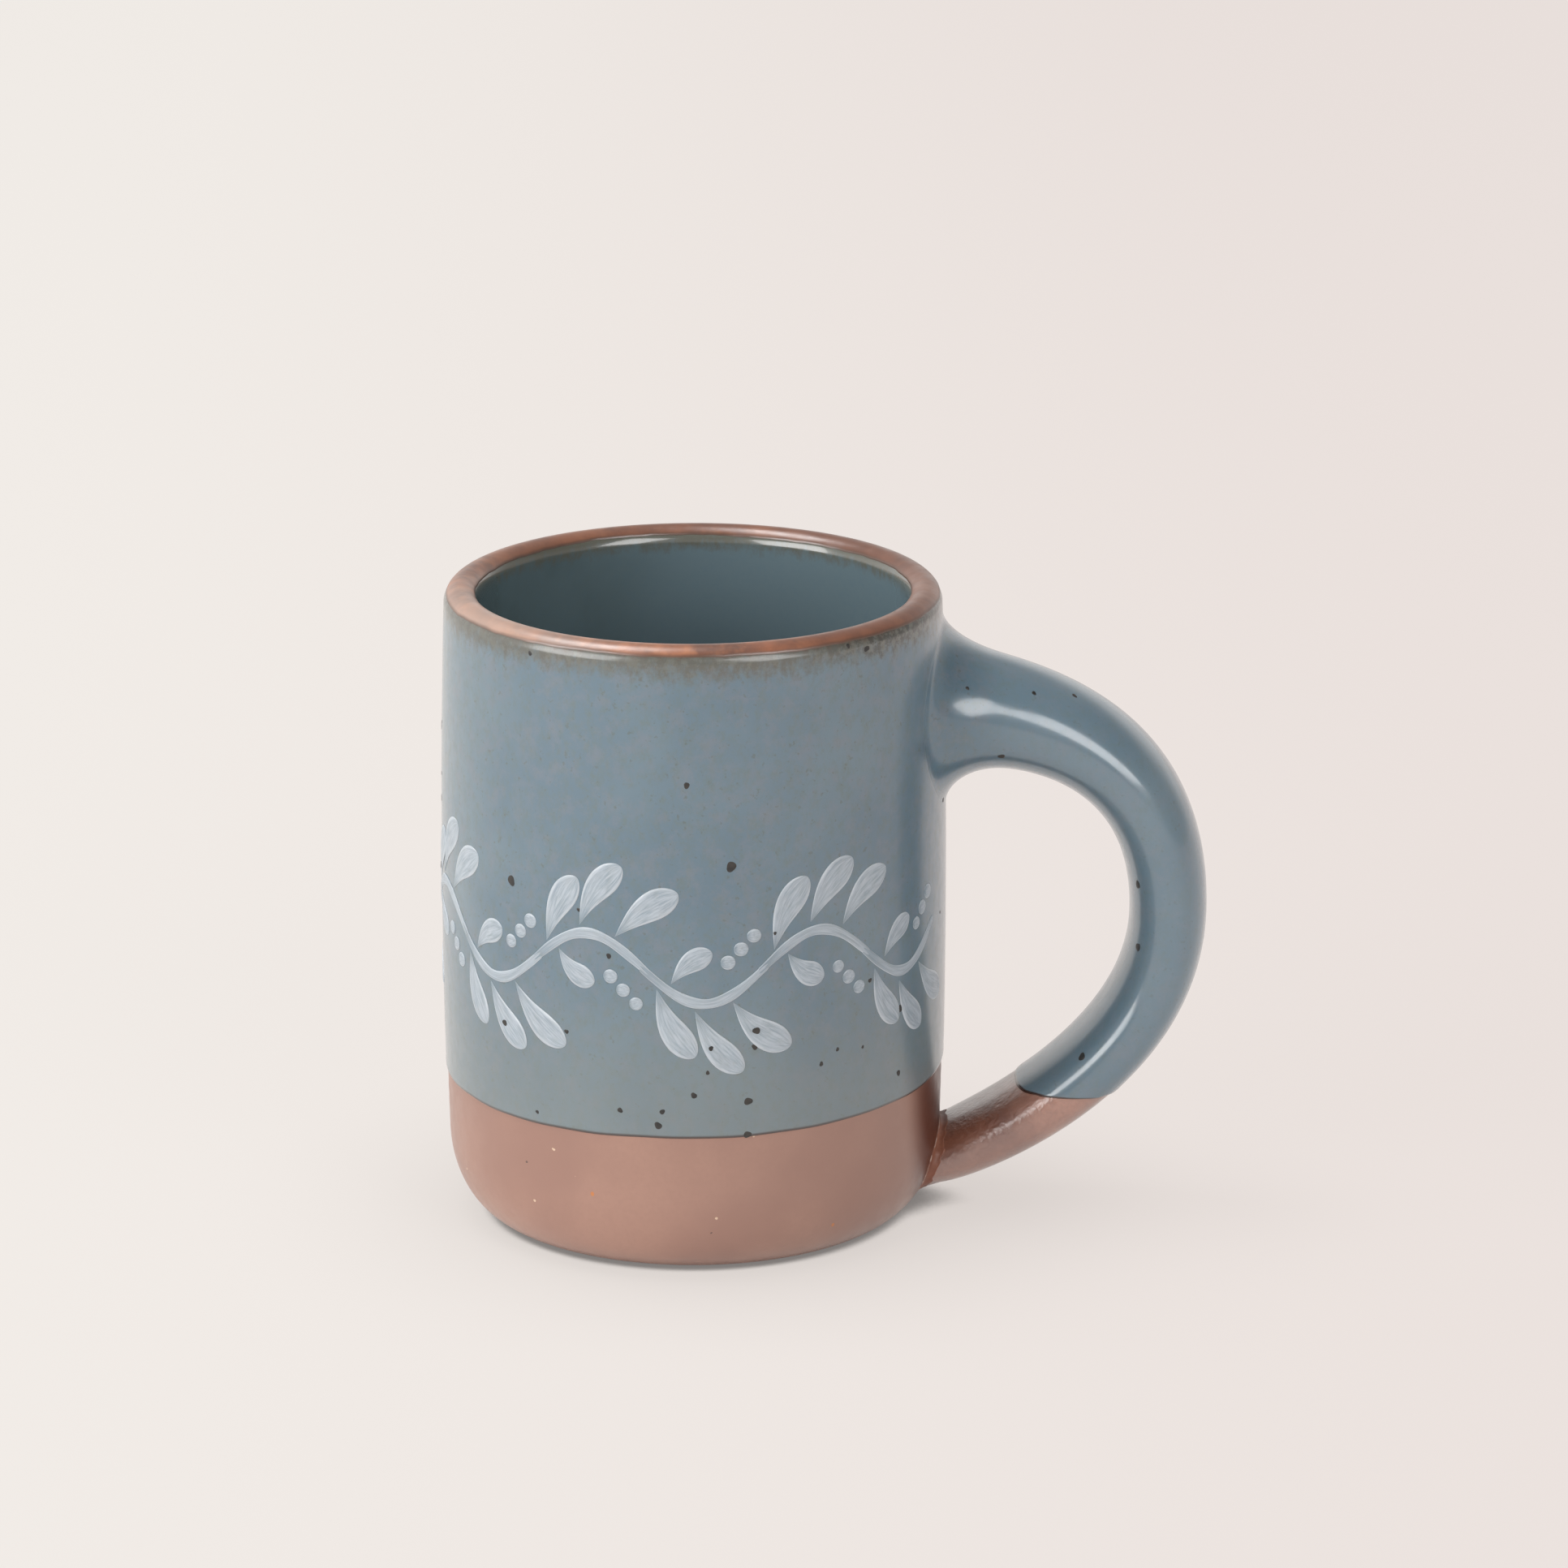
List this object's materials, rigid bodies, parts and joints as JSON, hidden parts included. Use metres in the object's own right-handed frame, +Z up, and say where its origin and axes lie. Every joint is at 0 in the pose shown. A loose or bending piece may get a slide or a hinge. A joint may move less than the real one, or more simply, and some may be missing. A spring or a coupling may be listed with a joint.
{
  "type": "mug",
  "caption": "Straight-sided stoneware mug with a strap handle, dipped glaze over a bare clay foot and a painted running leaf border.",
  "frame": {"origin": "centre of the foot ring, on the cup's axis at table height", "axes": "+Z up along the cup's axis, +X towards the middle of the handle"},
  "size_m": [0.1281, 0.0846, 0.108],
  "materials": {
    "bare_clay": "matte",
    "handle_clay": "satin",
    "slip_seam": "matte",
    "outer_glaze": "satin",
    "liner_glaze": "satin",
    "rim_glaze": "satin",
    "handle_glaze": "satin",
    "brushwork": "satin"
  },
  "bodies": {
    "root": {"cup_body": "bare_clay", "handle": "handle_clay", "upper_joint": "handle_clay", "lower_joint": "slip_seam", "outer_glaze": "outer_glaze", "liner_glaze": "liner_glaze", "rim_band": "rim_glaze", "handle_glaze": "handle_glaze", "painted_vine": "brushwork", "painted_leaves": "brushwork", "painted_berries": "brushwork"}
  },
  "joints": []
}
